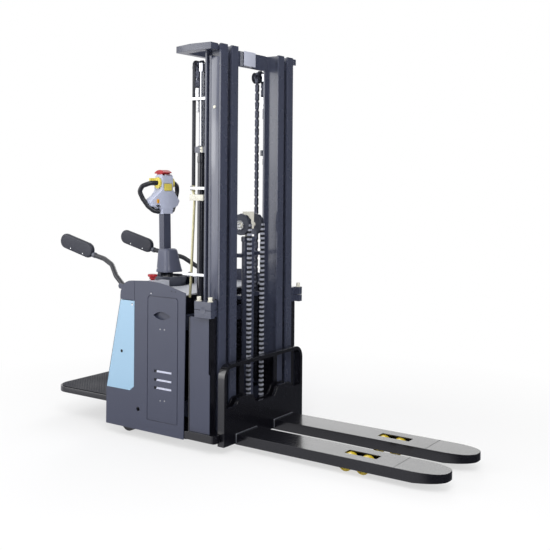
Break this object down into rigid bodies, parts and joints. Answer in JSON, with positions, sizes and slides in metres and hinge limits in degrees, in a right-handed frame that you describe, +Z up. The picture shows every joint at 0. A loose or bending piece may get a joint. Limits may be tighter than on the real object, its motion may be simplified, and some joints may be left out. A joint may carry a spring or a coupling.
{
  "type": "electric stacker",
  "caption": "Ride-on electric stacker with a two-stage mast, wrap-over forks, fold-down platform, side arms and a steering tiller.",
  "frame": {"origin": "middle of the truck's footprint at floor level", "axes": "+X forward along the forks, +Y to the truck's left, +Z up"},
  "size_m": [2.486, 0.858, 2.12],
  "materials": {
    "dark_frame_paint": "satin powder coat",
    "slate_body_paint": "satin powder coat",
    "light_blue_cover": "smooth moulded cover",
    "dark_hood_plastic": "fine grained moulding",
    "grey_deck_plastic": "fine grained moulding",
    "mast_paint": "satin powder coat",
    "fork_paint": "satin powder coat",
    "cylinder_paint": "gloss paint",
    "white_clamp": "light satin coat",
    "zinc_pipe": "yellow zinc plate",
    "battery_case": "acid-proof coat",
    "motor_casting": "painted casting",
    "chain_steel": "oiled steel",
    "chromed_rod": "hard chrome",
    "wheel_casting": "machined casting",
    "hose_rubber": "smooth hose cover",
    "dark_tyre": "solid polyurethane tread",
    "boot_rubber": "flexible moulding",
    "grey_head_plastic": "grained moulding",
    "grip_plastic": "soft-touch moulding",
    "yellow_plastic": "smooth moulding",
    "red_plastic": "smooth moulding",
    "mat_rubber": "ribbed mat",
    "pad_foam": "integral-skin foam",
    "yellow_wheel": "cast polyurethane"
  },
  "bodies": {
    "chassis": {"chassis_frame": "dark_frame_paint", "legs": "dark_frame_paint", "side_panels": "slate_body_paint", "doors": "slate_body_paint", "rear_covers": "light_blue_cover", "rear_hood": "dark_hood_plastic", "top_cover": "grey_deck_plastic", "front_covers": "slate_body_paint", "outer_upright_left": "mast_paint", "outer_upright_right": "mast_paint", "outer_crossbars": "mast_paint", "top_bow": "mast_paint", "trunnion_blocks": "mast_paint", "side_barrels": "cylinder_paint", "mast_clamps": "white_clamp", "rigid_pipe": "zinc_pipe", "battery": "battery_case", "pump_unit": "motor_casting"},
    "inner_mast": {"inner_upright_left": "mast_paint", "inner_upright_right": "mast_paint", "inner_crossbars": "mast_paint", "free_barrel": "cylinder_paint"},
    "carriage": {"carriage_plates": "fork_paint", "backrest_bar": "fork_paint", "fork_left": "fork_paint", "fork_right": "fork_paint", "lift_chains_front": "chain_steel"},
    "free_lift": {"free_rod": "chromed_rod", "lift_chains_rear": "chain_steel"},
    "lift_wheels": {"chain_wheels": "wheel_casting"},
    "side_lift": {"side_rods": "chromed_rod", "side_chains": "chain_steel", "hydraulic_hose": "hose_rubber"},
    "pulley_left": {"side_pulley_left": "wheel_casting"},
    "pulley_right": {"side_pulley_right": "wheel_casting"},
    "steering": {"turntable": "dark_hood_plastic"},
    "drive_turn": {"drive_unit": "motor_casting"},
    "drive": {"drive_wheel": "dark_tyre"},
    "tiller": {"tiller_column": "mast_paint", "tiller_boot": "boot_rubber", "tiller_head": "grey_head_plastic", "tiller_loops": "grip_plastic"},
    "travel_switch": {"butterfly_switch": "yellow_plastic"},
    "belly_switch": {"belly_button": "red_plastic"},
    "horn_switch": {"horn_button": "yellow_plastic"},
    "standing_platform": {"platform": "dark_frame_paint", "platform_mat": "mat_rubber"},
    "side_arm_left": {"arm_left": "dark_frame_paint", "arm_pad_left": "pad_foam"},
    "side_arm_right": {"arm_right": "dark_frame_paint", "arm_pad_right": "pad_foam"},
    "emergency_stop": {"stop_button": "red_plastic"},
    "load_front_left": {"load_wheel_front_left": "yellow_wheel"},
    "load_front_right": {"load_wheel_front_right": "yellow_wheel"},
    "load_rear_left": {"load_wheel_rear_left": "yellow_wheel"},
    "load_rear_right": {"load_wheel_rear_right": "yellow_wheel"},
    "caster_left": {"caster_fork_left": "zinc_pipe"},
    "caster_right": {"caster_fork_right": "zinc_pipe"},
    "caster_roll_left": {"caster_wheel_left": "dark_tyre"},
    "caster_roll_right": {"caster_wheel_right": "dark_tyre"}
  },
  "joints": [
    {"name": "mast_lift", "type": "slide", "parent": "chassis", "child": "inner_mast", "axis": [0, 0, 1], "range_m": [0, 1.4], "deforming": ["side_chains", "hydraulic_hose"]},
    {"name": "carriage_lift", "type": "slide", "parent": "inner_mast", "child": "carriage", "axis": [0, 0, 1], "range_m": [0, 1.5], "deforming": ["lift_chains_front", "lift_chains_rear"]},
    {"name": "free_rod_slide", "type": "slide", "parent": "inner_mast", "child": "free_lift", "axis": [0, 0, 1], "range_m": [0, 0.75]},
    {"name": "lift_wheel_turn", "type": "hinge", "parent": "free_lift", "child": "lift_wheels", "pos_m": [-0.034, 0, 1.165], "axis": [0, 1, 0], "continuous": true},
    {"name": "side_rod_slide", "type": "slide", "parent": "chassis", "child": "side_lift", "axis": [0, 0, 1], "range_m": [0, 0.7]},
    {"name": "pulley_left_turn", "type": "hinge", "parent": "side_lift", "child": "pulley_left", "pos_m": [-0.152, 0.2705, 2.01], "axis": [1, 0, 0], "continuous": true},
    {"name": "pulley_right_turn", "type": "hinge", "parent": "side_lift", "child": "pulley_right", "pos_m": [-0.152, -0.2705, 2.01], "axis": [1, 0, 0], "continuous": true},
    {"name": "steer", "type": "hinge", "parent": "chassis", "child": "steering", "pos_m": [-0.6, 0, 0.8], "axis": [0, 0, 1], "range_deg": [-75, 105]},
    {"name": "drive_steer", "type": "hinge", "parent": "chassis", "child": "drive_turn", "pos_m": [-0.562, 0, 0.35], "axis": [0, 0, 1], "range_deg": [-75, 105]},
    {"name": "drive_roll", "type": "hinge", "parent": "drive_turn", "child": "drive", "pos_m": [-0.562, 0, 0.115], "axis": [0.2588, 0.9659, 0], "continuous": true},
    {"name": "tiller_tilt", "type": "hinge", "parent": "steering", "child": "tiller", "pos_m": [-0.6483, 0.01294, 0.868], "axis": [-0.2588, -0.9659, 0], "range_deg": [0, 55], "stiffness_Nm_per_rad": 40, "springref_deg": -22.92, "deforming": ["tiller_boot"]},
    {"name": "travel_twist", "type": "hinge", "parent": "tiller", "child": "travel_switch", "pos_m": [-0.66589, 0.01766, 1.38968], "axis": [0.2588, 0.9659, 0], "range_deg": [-30, 30], "stiffness_Nm_per_rad": 0.6},
    {"name": "belly_press", "type": "slide", "parent": "tiller", "child": "belly_switch", "axis": [0.0337, -0.009, -0.9994], "range_m": [0, 0.006], "stiffness_N_per_m": 800, "springref_m": -0.002},
    {"name": "horn_press", "type": "slide", "parent": "tiller", "child": "horn_switch", "axis": [-0.9653, 0.2587, -0.0349], "range_m": [0, 0.003], "stiffness_N_per_m": 600, "springref_m": -0.001},
    {"name": "platform_fold", "type": "hinge", "parent": "chassis", "child": "standing_platform", "pos_m": [-0.722, 0, 0.172], "axis": [0, 1, 0], "range_deg": [0, 85]},
    {"name": "arm_left_fold", "type": "hinge", "parent": "chassis", "child": "side_arm_left", "pos_m": [-0.604, 0.385, 0.822], "axis": [0, 1, 0], "range_deg": [0, 80]},
    {"name": "arm_right_fold", "type": "hinge", "parent": "chassis", "child": "side_arm_right", "pos_m": [-0.604, -0.385, 0.822], "axis": [0, 1, 0], "range_deg": [0, 80]},
    {"name": "stop_press", "type": "slide", "parent": "chassis", "child": "emergency_stop", "axis": [0, 0, -1], "range_m": [0, 0.005]},
    {"name": "load_front_left_roll", "type": "hinge", "parent": "chassis", "child": "load_front_left", "pos_m": [0.805, 0.175, 0.04], "axis": [0, 1, 0], "continuous": true},
    {"name": "load_front_right_roll", "type": "hinge", "parent": "chassis", "child": "load_front_right", "pos_m": [0.805, -0.175, 0.04], "axis": [0, 1, 0], "continuous": true},
    {"name": "load_rear_left_roll", "type": "hinge", "parent": "chassis", "child": "load_rear_left", "pos_m": [0.71, 0.175, 0.04], "axis": [0, 1, 0], "continuous": true},
    {"name": "load_rear_right_roll", "type": "hinge", "parent": "chassis", "child": "load_rear_right", "pos_m": [0.71, -0.175, 0.04], "axis": [0, 1, 0], "continuous": true},
    {"name": "caster_left_swivel", "type": "hinge", "parent": "chassis", "child": "caster_left", "pos_m": [-0.6, 0.3, 0.14], "axis": [0, 0, 1], "continuous": true},
    {"name": "caster_right_swivel", "type": "hinge", "parent": "chassis", "child": "caster_right", "pos_m": [-0.6, -0.3, 0.14], "axis": [0, 0, 1], "continuous": true},
    {"name": "caster_left_roll", "type": "hinge", "parent": "caster_left", "child": "caster_roll_left", "pos_m": [-0.624, 0.3, 0.05], "axis": [0, 1, 0], "continuous": true},
    {"name": "caster_right_roll", "type": "hinge", "parent": "caster_right", "child": "caster_roll_right", "pos_m": [-0.624, -0.3, 0.05], "axis": [0, 1, 0], "continuous": true}
  ],
  "couplings": [
    {"joint": "free_rod_slide", "follows": "carriage_lift", "ratio": 0.5},
    {"joint": "lift_wheel_turn", "follows": "carriage_lift", "rad_per_m": -9.434},
    {"joint": "side_rod_slide", "follows": "mast_lift", "ratio": 0.5},
    {"joint": "pulley_left_turn", "follows": "mast_lift", "rad_per_m": -16.949},
    {"joint": "pulley_right_turn", "follows": "mast_lift", "rad_per_m": 16.949},
    {"joint": "drive_steer", "follows": "steer", "ratio": 1}
  ]
}
